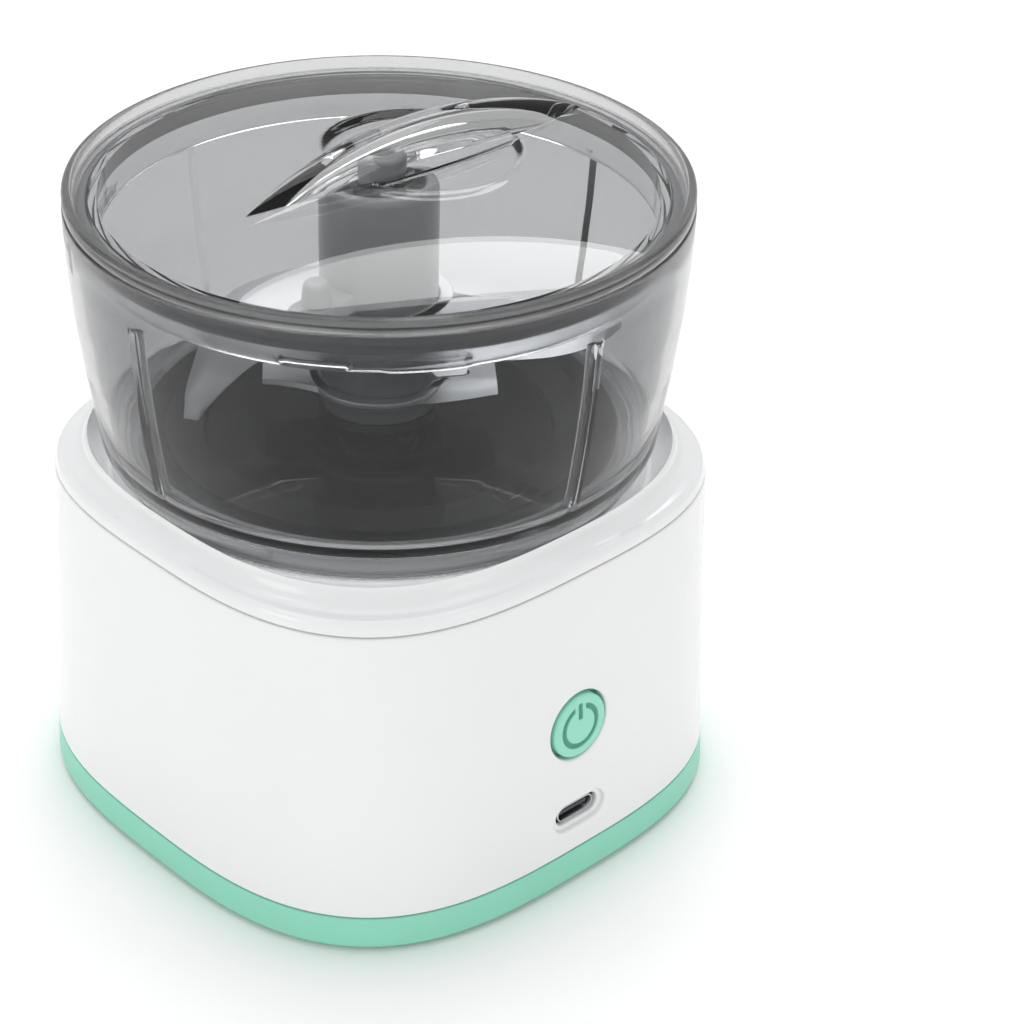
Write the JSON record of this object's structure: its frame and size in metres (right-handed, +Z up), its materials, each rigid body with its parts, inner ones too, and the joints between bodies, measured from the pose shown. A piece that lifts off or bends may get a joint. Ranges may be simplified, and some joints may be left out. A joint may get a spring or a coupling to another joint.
{
  "type": "food processor",
  "caption": "Rechargeable mini food processor: squared white base with mint band, round power button and charging port, smoke bowl with ribs, blade hub with two blades, lid with a leaf grip.",
  "frame": {"origin": "middle of the footprint, on the surface the feet stand on", "axes": "+Z up; the front with the power button and the charging port faces -Y; the blades, spindle and motor turn about Z"},
  "size_m": [0.113, 0.113, 0.1314],
  "materials": {
    "white_gloss": "glossy white ABS",
    "mint_shell": "satin mint ABS",
    "mint_button": "satin mint ABS with an engraved ring and bar",
    "smoke_clear": "clear smoke-grey polycarbonate, polished",
    "dark_seat": "charcoal ABS",
    "hub_grey": "mid grey ABS",
    "rubber": "matt black rubber",
    "screw_steel": "zinc-plated steel",
    "blade_steel": "ground stainless steel",
    "machined_steel": "turned steel",
    "plated_steel": "nickel-plated steel",
    "bronze": "sintered bronze",
    "inner_plastic": "dark moulded nylon",
    "circuit": "green solder mask",
    "cell_wrap": "blue shrink wrap",
    "red_wire": "red PVC",
    "black_wire": "black PVC"
  },
  "bodies": {
    "base": {"base_shell": "white_gloss", "bottom_cover": "mint_shell", "rubber_foot_1": "rubber", "rubber_foot_2": "rubber", "rubber_foot_3": "rubber", "rubber_foot_4": "rubber", "bottom_screw_1": "screw_steel", "bottom_screw_2": "screw_steel", "bottom_screw_3": "screw_steel", "bottom_screw_4": "screw_steel", "deck_cover": "white_gloss", "bowl_seat": "dark_seat", "seat_screw_1": "screw_steel", "seat_screw_2": "screw_steel", "seat_screw_3": "screw_steel", "seat_screw_4": "screw_steel", "motor_can": "plated_steel", "motor_end_cap": "inner_plastic", "motor_damper": "rubber", "motor_bracket": "plated_steel", "motor_screw_1": "screw_steel", "motor_screw_2": "screw_steel", "bracket_screw_1": "screw_steel", "bracket_screw_2": "screw_steel", "well_seal": "rubber", "battery_holder": "inner_plastic", "battery_cell_1": "cell_wrap", "battery_cell_2": "cell_wrap", "control_board": "circuit", "board_screw_1": "screw_steel", "board_screw_2": "screw_steel", "board_screw_3": "screw_steel", "board_screw_4": "screw_steel", "charge_board": "circuit", "power_switch": "inner_plastic", "interlock_switch": "inner_plastic", "button_guide": "mint_shell", "button_spring": "screw_steel", "motor_lead_red": "red_wire", "motor_lead_black": "black_wire", "port_shell": "machined_steel", "port_tongue": "inner_plastic"},
    "drive": {"motor_shaft": "machined_steel", "drive_coupling": "inner_plastic"},
    "button": {"power_button": "mint_button"},
    "interlock": {"lock_ring": "inner_plastic"},
    "bowl_body": {"bowl": "smoke_clear", "bowl_bush": "bronze", "shaft_seal": "rubber"},
    "rotor": {"spindle": "machined_steel", "spindle_clip": "screw_steel", "driven_coupling": "inner_plastic", "blade_hub": "hub_grey", "hub_foot_ring": "rubber", "upper_blade": "blade_steel", "lower_blade": "blade_steel"},
    "lid_seal": {"lid_gasket": "rubber"},
    "lid_body": {"lid": "smoke_clear", "lid_bearing": "dark_seat"}
  },
  "joints": [
    {"name": "motor_spin", "type": "hinge", "parent": "base", "child": "drive", "pos_m": [0, 0, 0.069], "axis": [0, 0, 1], "continuous": true},
    {"name": "button_press", "type": "slide", "parent": "base", "child": "button", "axis": [0, 0.9992, -0.0399], "range_m": [0, 0.0012], "stiffness_N_per_m": 400, "springref_m": -0.001, "deforming": ["button_spring"]},
    {"name": "bowl_twist", "type": "hinge", "parent": "base", "child": "interlock", "pos_m": [0, 0, 0.0716], "axis": [0, 0, 1], "range_deg": [0, 15]},
    {"name": "bowl_lift", "type": "slide", "parent": "interlock", "child": "bowl_body", "axis": [0, 0, 1], "range_m": [0, 0.06]},
    {"name": "spindle_spin", "type": "hinge", "parent": "bowl_body", "child": "rotor", "pos_m": [0, 0, 0.09], "axis": [0, 0, 1], "continuous": true},
    {"name": "lid_lift", "type": "slide", "parent": "bowl_body", "child": "lid_seal", "axis": [0, 0, 1], "range_m": [0, 0.06]},
    {"name": "lid_twist", "type": "hinge", "parent": "lid_seal", "child": "lid_body", "pos_m": [0, 0, 0.12], "axis": [0, 0, 1], "range_deg": [0, 20]}
  ],
  "couplings": [
    {"joint": "spindle_spin", "follows": "motor_spin", "ratio": 1}
  ]
}
